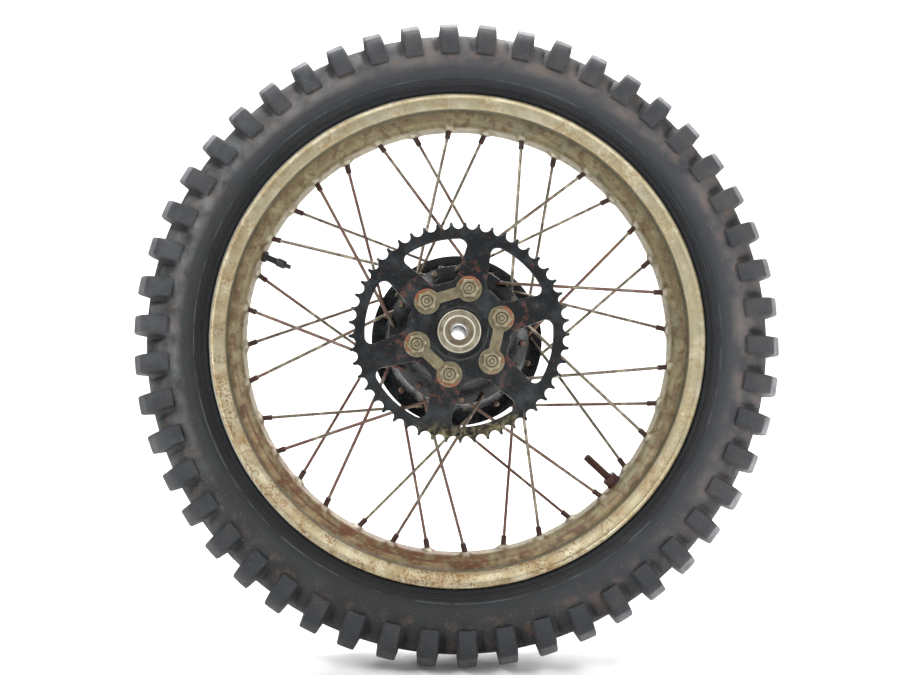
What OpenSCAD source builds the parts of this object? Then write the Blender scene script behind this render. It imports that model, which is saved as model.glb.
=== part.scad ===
// Rear wheel of an off-road motorcycle, complete with tyre, sprocket and drum hub.
// Millimetres. The axle lies along Y with the sprocket toward -Y, and +Z is up.
// The origin is on the axle at the middle of the rim.
// Modules draw with the axle along z, the sprocket side up; on_axle() turns that into place.

/* [Tyre] */
// Outer diameter of the tread at its crown
tyre_d = 641; // [630:1:660]
// Radius of the tread's cross-section, over the knobs
tread_section_r = 59; // [56:1:62]
// Radius of the casing's cross-section
casing_section_r = 47.5; // [45:0.5:49]
// Thickness of the casing under the tread
crown_wall = 8.5; // [6:0.5:10]
// Number of knob rows around the tread
knob_rows = 50; // [40:1:60]
// Share of the pitch that a knob's top fills
knob_share = 0.44; // [0.4:0.01:0.5]
// Width of a knob's foot over that of its top
knob_flare = 1.25; // [1:0.05:1.3]
// Angle of the first knob row
knob_phase = 5.27; // [0:0.01:7]
// Thickness of the inner tube
tube_wall = 2; // [1.5:0.5:3]

/* [Rim] */
// Diameter of the bead seats, for an 18 inch tyre
bead_seat_d = 457; // [456:0.5:458]
// Width between the flanges, 1.85 inches
rim_inner_w = 47; // [46:0.5:48]
// Height of the flanges above the bead seats
flange_h = 14; // [12:0.5:15]
// Thickness of the rim section
rim_wall = 3.5; // [3:0.5:4]
// Outer radius of the well, where the nipples stand
well_r = 213.5; // [212:0.5:215]

/* [Spokes] */
// Number of spokes
spokes = 36; // [36]
// Diameter of a spoke
spoke_d = 3.2; // [3:0.1:3.4]
// Angle of the first nipple
nipple_phase = 2.15; // [0:0.01:10]
// Angle on the hub between a spoke's hole and its nipple
lacing = 40; // [38:1:42]
// Stagger of the nipple holes from the middle of the rim
nipple_offset = 4; // [3:0.5:5]
// Diameter of a nipple
nipple_d = 5.8; // [5.4:0.1:6]
// Length of a nipple's body
nipple_len = 13; // [11:1:15]

/* [Hub] */
// Radius of the hole circle on the sprocket side
near_hole_r = 61; // [60.5:0.1:61.5]
// Radius of the hole circle on the drum side
far_hole_r = 80; // [79.5:0.1:80.5]
// Distance of the sprocket side flange from the middle of the rim
near_flange_z = 42; // [41:0.5:43]
// Distance of the drum side flange from the middle of the rim
far_flange_z = 43; // [42:0.5:44]
// Inner diameter of the brake drum
drum_d = 130; // [128:0.5:130]
// Diameter of the axle
axle_d = 15; // [14:0.5:15]

/* [Sprocket] */
// Number of teeth
teeth = 49; // [47:1:51]
// Pitch of the chain
chain_pitch = 12.7; // [12.7]
// Diameter of the chain's rollers
roller_d = 8.51; // [8.4:0.01:8.6]
// Wear of the gaps between the teeth, over the radius of a roller
tooth_wear = 0.75; // [0.2:0.05:0.8]
// Thickness of the sprocket
sprocket_t = 7; // [6:0.5:7]
// Radius of the worn tooth tips
tip_r = 100.9; // [100:0.1:102]
// Diameter of the bolt circle
bolt_circle_d = 80; // [79:0.5:81]
// Angle of the first bolt
bolt_phase = 17; // [0:0.5:60]
// Size of the hexagons across their flats
bolt_hex = 16; // [14:0.5:17]

/* [Hidden] */
$fn = 96;
gap = 0.05; // clearance of a fit
section_r = tyre_d / 2 - tread_section_r; // radius to the middle of the tyre's section
rim_half = rim_inner_w / 2;
seat_r = bead_seat_d / 2;
flange_r = seat_r + flange_h;
spoke_r = spoke_d / 2;
flange_half_t = 2; // half the thickness of a hub flange
elbow_offset = flange_half_t + spoke_r + 0.7;
near_slope = 20.5; // tilt of the flanges, in line with the spokes
far_slope = 23.5;
countersink_r = 4.1; // seat of a nipple in the rim
nipple_seat_r = well_r + 1.7; // where a nipple's head rests in its countersink
valve_angle = 157.15;
valve_hole_r = 4.2;
stem_r = 3.4;
stem_tip = well_r - 21.5; // inner end of the valve
pin_r = 0.65;
lock_angle = 317.15;
lock_hole_r = 4.3;
stud_r = 4;
drum_wall = 5.5; // thickness of the drum's liner
drum_outer_r = drum_d / 2 + 10.5;
drum_edge_z = -58;
liner_edge_z = -56;
pitch_r = chain_pitch / 2 / sin(180 / teeth);
boss_r = 27; // nose of the hub, inside the sprocket
boss_end = 79;
sprocket_z = 71.5; // seat of the sprocket
tooth_phase = 6; // angle of the gap before the first tooth
window_phase = 29.5; // angle from a bolt to the middle of a window
plate_z = sprocket_z + sprocket_t;
plate_t = 1.5;
bolt_r = 5;
collar_neck_r = 13;
left_bearing_z = 60;
right_bearing_z = -22;
bearing_w = 13;
bearing_r = 21;
ball_r = 3.97;
ball_circle_r = 14.25;
race_inner_r = 10.9;
race_outer_r = 17.6;
balls = 8;
ball_play = 0.15;

function polar(r, a, z = 0) = [r * cos(a), r * sin(a), z];
function arc(r, a0, a1, n, c) =
    [for (i = [0:n]) let (a = a0 + (a1 - a0) * i / n) c + r * [cos(a), sin(a)]];
function mirrored(points) = [for (i = [len(points) - 1:-1:0]) [points[i].x, -points[i].y]];
function unit(v) = v / norm(v);

// A spoke joins hub hole [angle, side] to nipple angle a; face is 1 outside the flange, -1 inside
function hole_r(side) = side > 0 ? near_hole_r : far_hole_r;
function slope(side) = side > 0 ? near_slope : far_slope;
function flange_z(side) = side > 0 ? near_flange_z : -far_flange_z;
function flange_normal(side, a) = polar(sin(slope(side)), a, side * cos(slope(side)));
function hub_hole(side, a) = polar(hole_r(side), a, flange_z(side));
function elbow(side, a, face) = hub_hole(side, a) + face * elbow_offset * flange_normal(side, a);
function nipple_seat(side, a) = polar(nipple_seat_r, a, side * nipple_offset);
function hole_angle(a, turn) = a + turn * lacing;
// The four spoke sets in nipple order: drum side right-hand, sprocket side right-hand,
// drum side left-hand, sprocket side left-hand
function spoke_side(k) = k % 2 == 0 ? -1 : 1;
function spoke_turn(k) = k % 4 < 2 ? 1 : -1;
function spoke_face(k) = spoke_side(k) * spoke_turn(k);
function nipple_angle(k) = nipple_phase + k * 360 / spokes;
function spoke_start(k) =
    elbow(spoke_side(k), hole_angle(nipple_angle(k), spoke_turn(k)), spoke_face(k));
function spoke_end(k) = nipple_seat(spoke_side(k), nipple_angle(k));
function spoke_dir(k) = unit(spoke_end(k) - spoke_start(k));

module on_axle() {
    rotate([90, 0, 0]) children();
}

module along(p, d) {
    translate(p)
        rotate([0, acos(d.z / norm(d)), atan2(d.y, d.x)])
            children();
}

module ring(r_in, r_out, z0, z1) {
    rotate_extrude($fn = 180)
        translate([r_in, z0])
            square([r_out - r_in, z1 - z0]);
}

// Places a radial piece: its z runs from the wheel's centre outward at angle a
module radial(a) {
    rotate([0, 90, a]) children();
}

// Tyre: a hollow casing with straight rows of blocks across the tread

module casing_profile() {
    side = concat(
        [[seat_r + 1, 12.5], [seat_r + 0.1, 16], [seat_r + 0.1, rim_half - 2],
            [seat_r + 2.2, rim_half - 0.1], [flange_r + 0.5, rim_half - 0.1],
            [flange_r + 2, rim_half + 6]],
        arc(casing_section_r, 105, 0, 8, [section_r, 0]));
    inner_r = casing_section_r - crown_wall;
    inside = concat(
        [[seat_r + 8, 12.5], [seat_r + 13, 19], [flange_r + 4, 29]],
        arc(inner_r + 2, 105, 0, 8, [section_r - 2, 0]));
    difference() {
        polygon(concat(side, mirrored(side)));
        polygon(concat(inside, mirrored(inside)));
        translate([0, -12.5]) square([seat_r + 20, 25]);
    }
}

module tread_envelope() {
    shoulder = [[section_r + 13, 44], [section_r + 14, 51.5]];
    crown = arc(tread_section_r, 53, 0, 6, [section_r, 0]);
    half = concat([[section_r, 42]], shoulder, crown);
    difference() {
        polygon(concat(half, mirrored(half)));
        translate([section_r, 0]) circle(r = casing_section_r - 4);
    }
}

module knob_plan(share) {
    half_angle = 180 / knob_rows * share;
    outer = tyre_d / 2 + 5;
    for (i = [0:knob_rows - 1])
        rotate(knob_phase + i * 360 / knob_rows)
            polygon([polar(section_r, -half_angle * knob_flare), polar(outer, -half_angle),
                polar(outer, half_angle), polar(section_r, half_angle * knob_flare)]
                * [[1, 0], [0, 1], [0, 0]]);
}

module tread_blocks() {
    shoulder_w = 36;
    centre_w = 26;
    groove = 6;
    intersection() {
        rotate_extrude($fn = 180) tread_envelope();
        union() {
            translate([0, 0, centre_w / 2 + groove])
                linear_extrude(shoulder_w) knob_plan(knob_share);
            translate([0, 0, -centre_w / 2 - groove - shoulder_w])
                linear_extrude(shoulder_w) knob_plan(knob_share);
            translate([0, 0, -centre_w / 2])
                linear_extrude(centre_w) knob_plan(knob_share);
        }
    }
}

module tyre() {
    color([0.2, 0.2, 0.21]) on_axle() union() {
        rotate_extrude($fn = 180) casing_profile();
        tread_blocks();
    }
}

module inner_tube() {
    tube_r = casing_section_r - crown_wall - 1;
    half = concat([[seat_r + 5, 0], [seat_r + 5, 10], [seat_r + 9.5, 12.5], [flange_r + 4.5, 27]],
        arc(tube_r, 100, 0, 8, [section_r - 0.5, 0]));
    inner = concat([[seat_r + 5 + tube_wall, 0], [seat_r + 5 + tube_wall, 9],
        [seat_r + 9.5 + tube_wall, 11.5], [flange_r + 6.5, 25.5]],
        arc(tube_r - tube_wall, 100, 0, 8, [section_r - 0.5, 0]));
    color([0.12, 0.12, 0.12]) on_axle() difference() {
        rotate_extrude($fn = 120) difference() {
            polygon(concat(half, mirrored(half)));
            polygon(concat(inner, mirrored(inner)));
        }
        radial(valve_angle) cylinder(h = seat_r + 8, r = stem_r + gap);
    }
}

// Rim: drop-centre section with a hole for every nipple, the valve and the rim lock

module rim_profile() {
    outer = [[well_r, 0], [well_r, 8], [well_r + 1, 12], [well_r + 11.5, 19],
        [well_r + 12, rim_half + 3.5], [flange_r - 4.5, rim_half + 3.5],
        [flange_r - 2.5, rim_half + 5], [flange_r - 0.6, rim_half + 4.6],
        [flange_r, rim_half + 3], [flange_r, rim_half + 1.2], [flange_r - 1, rim_half]];
    inner = [[seat_r + 1.5, rim_half], [seat_r, rim_half - 1.5], [seat_r - 0.5, 12.2],
        [seat_r - 2, 11.8], [well_r + rim_wall, 8.5], [well_r + rim_wall, 0]];
    half = concat(outer, inner);
    polygon(concat(half, mirrored(half)));
}

module rim() {
    color([0.76, 0.76, 0.72]) on_axle() difference() {
        rotate_extrude($fn = 180) rim_profile();
        for (k = [0:spokes - 1]) {
            along(spoke_end(k) - 12 * spoke_dir(k), spoke_dir(k))
                cylinder(h = 20, r = nipple_d / 2 + gap, $fn = 24);
            along(spoke_end(k), spoke_dir(k)) cylinder(h = 8, r = countersink_r, $fn = 24);
        }
        radial(valve_angle) translate([0, 0, well_r - 5]) cylinder(h = 15, r = valve_hole_r);
        radial(lock_angle) translate([0, 0, well_r - 5]) cylinder(h = 15, r = lock_hole_r);
    }
}

module rim_strip() {
    strip_r = well_r + 7;
    color([0.1, 0.1, 0.1]) on_axle() difference() {
        ring(strip_r, strip_r + 1, -9.5, 9.5);
        radial(valve_angle) translate([0, 0, well_r]) cylinder(h = 15, r = valve_hole_r);
        radial(lock_angle) translate([0, 0, well_r]) cylinder(h = 15, r = lock_hole_r);
    }
}

// Spokes: a head, a shank through the flange, an elbow and a straight run into the nipple

module spoke(k) {
    a = hole_angle(nipple_angle(k), spoke_turn(k));
    out = spoke_face(k) * flange_normal(spoke_side(k), a);
    head_seat = hub_hole(spoke_side(k), a) - (flange_half_t + gap) * out;
    start = spoke_start(k);
    along(head_seat - 2.2 * out, out) cylinder(h = 2.2, r = 3.2, $fn = 24);
    along(head_seat - out, out) cylinder(h = flange_half_t + gap + 1 + elbow_offset, r = spoke_r, $fn = 24);
    translate(start) sphere(r = spoke_r + 0.2, $fn = 24);
    along(start, spoke_dir(k)) cylinder(h = norm(spoke_end(k) - start) + 1, r = spoke_r, $fn = 24);
}

module spoke_set(first) {
    color([0.42, 0.33, 0.28]) on_axle()
        for (k = [first:4:spokes - 1]) spoke(k);
}

module near_outer_spokes() {
    spoke_set(1);
}

module near_inner_spokes() {
    spoke_set(3);
}

module far_outer_spokes() {
    spoke_set(2);
}

module far_inner_spokes() {
    spoke_set(0);
}

module nipple_set(first) {
    color([0.3, 0.2, 0.15]) on_axle()
        for (k = [first:2:spokes - 1])
            along(spoke_end(k), spoke_dir(k)) difference() {
                union() {
                    translate([0, 0, -nipple_len])
                        cylinder(h = nipple_len + 1, r = nipple_d / 2, $fn = 24);
                    translate([0, 0, gap]) cylinder(h = 3, r = 4, $fn = 24);
                }
                translate([0, 0, -nipple_len - 1])
                    cylinder(h = nipple_len + 5, r = spoke_r + gap, $fn = 24);
            }
}

module near_nipples() {
    nipple_set(1);
}

module far_nipples() {
    nipple_set(0);
}

// Hub: a hollow casting with the sprocket seat and small flange on one side, the drum on the other

function flange_rise(side, r, face) =
    (hole_r(side) - r) * tan(slope(side)) + face * flange_half_t / cos(slope(side));
function flange_face(side, r, face) = [r, flange_z(side) + side * flange_rise(side, r, face)];

module hub_profile() {
    drum_r = drum_d / 2;
    polygon([
        [boss_r, boss_end], [boss_r, sprocket_z], [48, sprocket_z], [48, 61.5],
        [38, 59], [36, 53], [42, 52],
        flange_face(1, 46, 1), flange_face(1, 66.5, 1), flange_face(1, 66.5, -1), flange_face(1, 55, -1),
        [55.5, 38], [drum_outer_r, -24],
        flange_face(-1, drum_outer_r, -1), flange_face(-1, 90, -1),
        flange_face(-1, 90, 1), flange_face(-1, drum_outer_r, 1),
        [drum_outer_r, drum_edge_z], [drum_r + drum_wall, drum_edge_z], [drum_r + drum_wall, -16],
        [29, -16], [29, right_bearing_z], [bearing_r, right_bearing_z],
        [bearing_r, right_bearing_z + bearing_w], [17.7, right_bearing_z + bearing_w], [17.7, -5],
        [29, -5], [29, -11], [66, -11], [49, 40], [30, 48], [30, 54],
        [17.7, 56], [17.7, left_bearing_z], [bearing_r, left_bearing_z], [bearing_r, boss_end]]);
}

module hub_shell() {
    color([0.13, 0.14, 0.15]) on_axle() difference() {
        rotate_extrude($fn = 120) hub_profile();
        for (k = [0:spokes - 1]) {
            side = spoke_side(k);
            a = hole_angle(nipple_angle(k), spoke_turn(k));
            along(hub_hole(side, a) - 6 * flange_normal(side, a), flange_normal(side, a))
                cylinder(h = 12, r = spoke_r + 0.2, $fn = 24);
        }
        for (i = [0:5])
            translate(polar(bolt_circle_d / 2, bolt_phase + 60 * i, 58))
                cylinder(h = 20, r = bolt_r + gap, $fn = 32);
    }
}

module brake_liner() {
    color([0.35, 0.33, 0.31]) on_axle()
        ring(drum_d / 2, drum_d / 2 + drum_wall, liner_edge_z, right_bearing_z);
}

// Sprocket: roller chain teeth, six arms and rounded windows

// The gap between two teeth, worn wider than a roller, so the teeth stand as spikes.
// Its lowest point stays where a roller would rest.
module tooth_gap() {
    gap_r = roller_d / 2 + tooth_wear;
    mouth = gap_r - 0.1;
    spread = 3.1;
    translate([tooth_wear, 0]) {
        circle(r = gap_r, $fn = 32);
        polygon([[0, -mouth], [0, mouth], [3, mouth + spread], [3, -mouth - spread]]);
    }
}

module sprocket_window() {
    hull() {
        for (a = [-16.5:5.5:16.5])
            rotate(a) translate([79.5, 0]) circle(r = 7, $fn = 48);
        for (a = [-3, 3])
            rotate(a) translate([58.5, 0]) circle(r = 13, $fn = 48);
    }
}

module sprocket() {
    color([0.12, 0.13, 0.14]) on_axle() translate([0, 0, sprocket_z]) linear_extrude(sprocket_t)
        difference() {
            circle(r = tip_r, $fn = 180);
            for (i = [0:teeth - 1])
                rotate(tooth_phase + (i + 0.5) * 360 / teeth) translate([pitch_r, 0]) tooth_gap();
            for (i = [0:5])
                rotate(bolt_phase + window_phase + 60 * i) sprocket_window();
            for (i = [0:5])
                rotate(bolt_phase + 60 * i) translate([bolt_circle_d / 2, 0])
                    circle(r = bolt_r + gap, $fn = 32);
            circle(r = boss_r + gap);
        }
}

module lock_plate(i) {
    a = bolt_phase + 60 + 120 * i;
    reach = bolt_circle_d / 2;
    color([0.62, 0.57, 0.47]) on_axle() translate([0, 0, plate_z]) linear_extrude(plate_t)
        difference() {
            union() {
                for (b = [a, a + 60])
                    rotate(b) translate([reach, 0]) circle(r = 11.8, $fn = 48);
                rotate(a + 30) translate([reach * cos(30) - 5, -reach / 2]) square([10, reach]);
            }
            for (b = [a, a + 60])
                rotate(b) translate([reach, 0]) circle(r = bolt_r + gap, $fn = 32);
        }
}

module lock_plate_1() {
    lock_plate(0);
}

module lock_plate_2() {
    lock_plate(1);
}

module lock_plate_3() {
    lock_plate(2);
}

module sprocket_bolts() {
    top = plate_z + plate_t;
    head_h = 6;
    color([0.6, 0.55, 0.45]) on_axle() for (i = [0:5])
        translate(polar(bolt_circle_d / 2, bolt_phase + 60 * i, top)) difference() {
            union() {
                cylinder(h = head_h, r = bolt_hex / 2 / cos(30), $fn = 6);
                translate([0, 0, -17]) cylinder(h = 18, r = bolt_r, $fn = 32);
            }
            translate([0, 0, head_h - 0.8]) cylinder(h = 1, r = 4.8, $fn = 32);
        }
}

// Bearings: deep-groove ball bearings, their inner races clamped on the axle

module race_groove() {
    translate([ball_circle_r, bearing_w / 2]) circle(r = ball_r + ball_play, $fn = 48);
}

module outer_race(z) {
    color([0.65, 0.66, 0.68]) on_axle() translate([0, 0, z]) rotate_extrude($fn = 96) difference() {
        translate([race_outer_r, 0]) square([bearing_r - race_outer_r, bearing_w]);
        race_groove();
    }
}

module inner_race(z) {
    color([0.65, 0.66, 0.68]) on_axle() translate([0, 0, z]) rotate_extrude($fn = 96) difference() {
        translate([axle_d / 2, 0]) square([race_inner_r - axle_d / 2, bearing_w]);
        race_groove();
    }
}

module ball_set(z) {
    color([0.7, 0.71, 0.73]) on_axle() for (i = [0:balls - 1])
        translate(polar(ball_circle_r, i * 360 / balls, z + bearing_w / 2)) sphere(r = ball_r, $fn = 32);
}

module cage(z) {
    color([0.7, 0.55, 0.3]) on_axle() translate([0, 0, z + bearing_w / 2]) difference() {
        ring(ball_circle_r - 1.2, ball_circle_r + 1.2, -5, 5);
        for (i = [0:balls - 1])
            radial(i * 360 / balls) translate([0, 0, 8]) cylinder(h = 12, r = ball_r + ball_play, $fn = 48);
    }
}

module left_outer_race() {
    outer_race(left_bearing_z);
}

module left_inner_race() {
    inner_race(left_bearing_z);
}

module left_balls() {
    ball_set(left_bearing_z);
}

module left_cage() {
    cage(left_bearing_z);
}

module right_outer_race() {
    outer_race(right_bearing_z);
}

module right_inner_race() {
    inner_race(right_bearing_z);
}

module right_balls() {
    ball_set(right_bearing_z);
}

module right_cage() {
    cage(right_bearing_z);
}

module bearing_seal() {
    color([0.08, 0.08, 0.08]) on_axle()
        ring(collar_neck_r + 0.3, bearing_r, left_bearing_z + bearing_w + 0.5, boss_end - 0.5);
}

module distance_tube() {
    color([0.55, 0.55, 0.55]) on_axle()
        ring(axle_d / 2, 10.4, right_bearing_z + bearing_w, left_bearing_z);
}

// Collar: a necked spacer between the bearing and the swinging arm, with a dished face
module axle_collar() {
    bore_r = axle_d / 2;
    foot = left_bearing_z + bearing_w;
    color([0.66, 0.6, 0.49]) on_axle() rotate_extrude($fn = 96) polygon([
        [bore_r, foot], [10.4, foot], [10.4, foot + 0.6], [collar_neck_r, foot + 0.6],
        [collar_neck_r, boss_end + 0.6], [19.8, boss_end + 0.6], [19.8, boss_end + 3.4],
        [19, boss_end + 4], [15, boss_end + 4], [14.4, boss_end + 5], [13.6, boss_end + 5],
        [9.2, boss_end + 3.6], [bore_r + 0.6, boss_end + 4.4], [bore_r, boss_end + 4]]);
}

// Valve: points inward from the tube through the rim; z runs outward along its radius

module valve_stem() {
    color([0.16, 0.15, 0.14]) on_axle() radial(valve_angle) difference() {
        union() {
            translate([0, 0, stem_tip]) cylinder(h = seat_r + 8 - stem_tip, r = stem_r);
            translate([0, 0, well_r + 8.8]) cylinder(h = 1.5, r = 6);
        }
        translate([0, 0, stem_tip - 1]) cylinder(h = 15, r = 2.3 + gap);
        translate([0, 0, stem_tip]) cylinder(h = 60, r = 1.2);
    }
}

module valve_nut() {
    color([0.14, 0.13, 0.12]) on_axle() radial(valve_angle) translate([0, 0, well_r - 4.3]) difference() {
        cylinder(h = 4, r = 5.6, $fn = 6);
        translate([0, 0, -1]) cylinder(h = 6, r = stem_r + gap);
    }
}

module valve_core() {
    color([0.75, 0.6, 0.3]) on_axle() radial(valve_angle) translate([0, 0, stem_tip + 1]) difference() {
        cylinder(h = 12, r = 2.3);
        translate([0, 0, -1]) cylinder(h = 14, r = pin_r + gap);
    }
}

module valve_pin() {
    color([0.8, 0.65, 0.35]) on_axle() radial(valve_angle)
        translate([0, 0, stem_tip - 0.4]) cylinder(h = 18, r = pin_r);
}

module valve_cap() {
    color([0.1, 0.1, 0.1]) on_axle() radial(valve_angle) translate([0, 0, stem_tip - 8.5]) difference() {
        union() {
            translate([0, 0, 5]) cylinder(h = 9.5, r = 4.4);
            cylinder(h = 6, r = 2.3);
        }
        translate([0, 0, 6.5]) cylinder(h = 9, r = stem_r + gap);
        translate([-0.45, -4, -1]) cube([0.9, 8, 3.5]);
    }
}

// Rim lock: a shoe that clamps the beads, pulled in by a nut under the rim

module rim_lock_shoe() {
    foot = well_r + 8.2;
    color([0.15, 0.15, 0.15]) on_axle() difference() {
        rotate([0, 0, lock_angle - 10]) rotate_extrude(angle = 20, $fn = 120)
            polygon([[foot, -9], [foot, 9], [seat_r - 1, 11.8], [seat_r + 3.5, 11.8],
                [seat_r + 3.5, -11.8], [seat_r - 1, -11.8]]);
        radial(lock_angle) cylinder(h = seat_r + 10, r = stud_r + gap);
    }
}

module rim_lock_stud() {
    color([0.38, 0.26, 0.2]) on_axle() radial(lock_angle) {
        translate([0, 0, well_r - 37]) cylinder(h = seat_r + 40.5 - well_r, r = stud_r);
        translate([0, 0, well_r - 38.5]) cylinder(h = 1.5, r = 3.3);
    }
}

module rim_lock_washer() {
    color([0.4, 0.3, 0.25]) on_axle() radial(lock_angle) translate([0, 0, well_r - 1.9]) difference() {
        cylinder(h = 1.5, r = 8);
        translate([0, 0, -1]) cylinder(h = 4, r = lock_hole_r);
    }
}

module rim_lock_nut() {
    color([0.4, 0.27, 0.2]) on_axle() radial(lock_angle) translate([0, 0, well_r - 8.9]) difference() {
        cylinder(h = 7, r = 7.5, $fn = 6);
        translate([0, 0, -1]) cylinder(h = 9, r = stud_r + gap);
    }
}

tyre();
inner_tube();
rim_strip();
rim();
near_outer_spokes();
near_inner_spokes();
far_outer_spokes();
far_inner_spokes();
near_nipples();
far_nipples();
hub_shell();
brake_liner();
sprocket();
lock_plate_1();
lock_plate_2();
lock_plate_3();
sprocket_bolts();
bearing_seal();
left_outer_race();
left_balls();
left_cage();
left_inner_race();
right_outer_race();
right_balls();
right_cage();
right_inner_race();
distance_tube();
axle_collar();
valve_stem();
valve_nut();
valve_core();
valve_pin();
valve_cap();
rim_lock_shoe();
rim_lock_stud();
rim_lock_washer();
rim_lock_nut();
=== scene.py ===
# Rear wheel of an off-road motorcycle, finished over its CAD frame.
# The axle lies along Y, the sprocket faces -Y and +Z is up. Lengths in the dictionaries are millimetres.
import math
import random

import bmesh
import bpy
from mathutils import Matrix, Vector, noise


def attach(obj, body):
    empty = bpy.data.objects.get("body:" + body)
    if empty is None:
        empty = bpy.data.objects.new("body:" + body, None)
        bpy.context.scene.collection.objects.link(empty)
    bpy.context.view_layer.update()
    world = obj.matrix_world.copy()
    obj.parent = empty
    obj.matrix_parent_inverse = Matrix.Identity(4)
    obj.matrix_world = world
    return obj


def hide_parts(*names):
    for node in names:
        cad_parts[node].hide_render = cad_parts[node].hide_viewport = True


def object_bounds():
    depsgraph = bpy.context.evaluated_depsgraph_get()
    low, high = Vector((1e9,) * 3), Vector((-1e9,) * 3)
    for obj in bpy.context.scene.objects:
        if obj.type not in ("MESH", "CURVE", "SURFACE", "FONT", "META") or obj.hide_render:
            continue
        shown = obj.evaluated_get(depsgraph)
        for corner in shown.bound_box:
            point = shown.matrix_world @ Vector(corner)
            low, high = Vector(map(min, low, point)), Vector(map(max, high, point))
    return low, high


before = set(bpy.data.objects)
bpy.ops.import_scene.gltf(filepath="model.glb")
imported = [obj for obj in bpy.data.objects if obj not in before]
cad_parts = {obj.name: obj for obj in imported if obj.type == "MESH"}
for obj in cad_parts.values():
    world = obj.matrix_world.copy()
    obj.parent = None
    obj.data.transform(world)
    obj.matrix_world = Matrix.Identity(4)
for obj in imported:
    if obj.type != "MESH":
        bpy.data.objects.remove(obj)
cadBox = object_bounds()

mm = 0.001
axle = Vector((0, -1, 0))
random.seed(49)


# Small helpers for meshes

def polar(radius, degrees, depth=0):
    # a point in metres, its angle seen from the sprocket side and its depth toward the sprocket
    a = math.radians(degrees)
    return Vector((radius * math.cos(a), -depth, radius * math.sin(a))) * mm


def spinWhole(bm, steps):
    bmesh.ops.spin(bm, geom=bm.verts[:] + bm.edges[:], cent=(0, 0, 0), axis=axle,
                   dvec=(0, 0, 0), angle=math.tau, steps=steps, use_merge=True)


def closed(bm, distance=1e-6):
    bmesh.ops.remove_doubles(bm, verts=bm.verts, dist=distance)
    bmesh.ops.recalc_face_normals(bm, faces=bm.faces)


def finished(name, bm, material):
    mesh = bpy.data.meshes.new(name)
    bm.to_mesh(mesh)
    bm.free()
    piece = bpy.data.objects.new(name, mesh)
    bpy.context.scene.collection.objects.link(piece)
    mesh.materials.append(material)
    for face in mesh.polygons:
        face.use_smooth = True
    return piece


def softenEdges(piece, width, degrees):
    bevel = piece.modifiers.new("edges", "BEVEL")
    bevel.width = width * mm
    bevel.segments = 2
    bevel.limit_method = "ANGLE"
    bevel.angle_limit = math.radians(degrees)
    bevel.harden_normals = True


def smoothByAngle(piece, degrees=35):
    piece.data.set_sharp_from_angle(angle=math.radians(degrees))
    return piece


def standIn(piece, body, slot, *nodes):
    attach(piece, body)
    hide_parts(*nodes)


def turned(name, outline, material, rounding=0.4, steps=96):
    # a part turned on the axle line from its outline of (radius, depth) points
    bm = bmesh.new()
    bm.faces.new([bm.verts.new((r * mm, -z * mm, 0)) for r, z in outline])
    bmesh.ops.bevel(bm, geom=bm.verts[:], offset=rounding * mm, offset_type="OFFSET", segments=2,
                    profile=0.5, affect="VERTICES", material=-1, clamp_overlap=True)
    bmesh.ops.delete(bm, geom=bm.faces[:], context="FACES_ONLY")
    spinWhole(bm, steps)
    closed(bm)
    return smoothByAngle(finished(name, bm, material))


def fromCad(name, node, material, edge=0.3):
    # the CAD shape with its seams merged, its flat faces made whole and its edges softened
    bm = bmesh.new()
    bm.from_mesh(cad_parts[node].data)
    bmesh.ops.remove_doubles(bm, verts=bm.verts, dist=2e-6)
    bmesh.ops.dissolve_limit(bm, angle_limit=math.radians(0.5), verts=bm.verts, edges=bm.edges,
                             delimit=set())
    piece = smoothByAngle(finished(name, bm, material), 28)
    softenEdges(piece, edge, 28)
    return piece


# Small helpers for materials

def linear(hexColour):
    # sRGB hex to the linear colour that a shader expects
    parts = [int(hexColour[i:i + 2], 16) / 255 for i in (1, 3, 5)]
    return tuple(p / 12.92 if p <= 0.04045 else ((p + 0.055) / 1.055) ** 2.4 for p in parts) + (1.0,)


def addNode(tree, kind, inputs=None, output=0, stops=(), **settings):
    # adds a shader node, sets or links its inputs and gives back one of its outputs
    node = tree.nodes.new("ShaderNode" + kind)
    for name, value in settings.items():
        setattr(node, name, value)
    for name, value in (inputs or {}).items():
        if isinstance(value, bpy.types.NodeSocket):
            tree.links.new(value, node.inputs[name])
        else:
            node.inputs[name].default_value = linear(value) if isinstance(value, str) else value
    for number, (spot, shade) in enumerate(stops):
        node.color_ramp.elements[number].position = spot
        node.color_ramp.elements[number].color = (shade, shade, shade, 1)
    return node.outputs[output]


def newMaterial(name):
    material = bpy.data.materials.new(name)
    material.use_nodes = True
    tree = material.node_tree
    return material, tree, addNode(tree, "TexCoord", output="Object")


def surface(tree, colour, roughness, metallic=0.0, bump=None, specular=0.5):
    # sets or links what the surface is; bump is (height, depth in millimetres, strength)
    inputs = tree.nodes["Principled BSDF"].inputs
    inputs["Specular IOR Level"].default_value = specular
    for socket, value in (("Base Color", colour), ("Roughness", roughness), ("Metallic", metallic)):
        if isinstance(value, bpy.types.NodeSocket):
            tree.links.new(value, inputs[socket])
        else:
            inputs[socket].default_value = value
    if bump:
        height, depth, strength = bump
        normal = addNode(tree, "Bump", {"Height": height, "Distance": depth * mm, "Strength": strength})
        tree.links.new(normal, inputs["Normal"])


def wheelRadius(tree, place):
    # distance from the axle line, in metres
    flat = addNode(tree, "VectorMath", {0: place, 1: (1, 0, 1)}, operation="MULTIPLY")
    return addNode(tree, "VectorMath", {0: flat}, "Value", operation="LENGTH")


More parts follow.
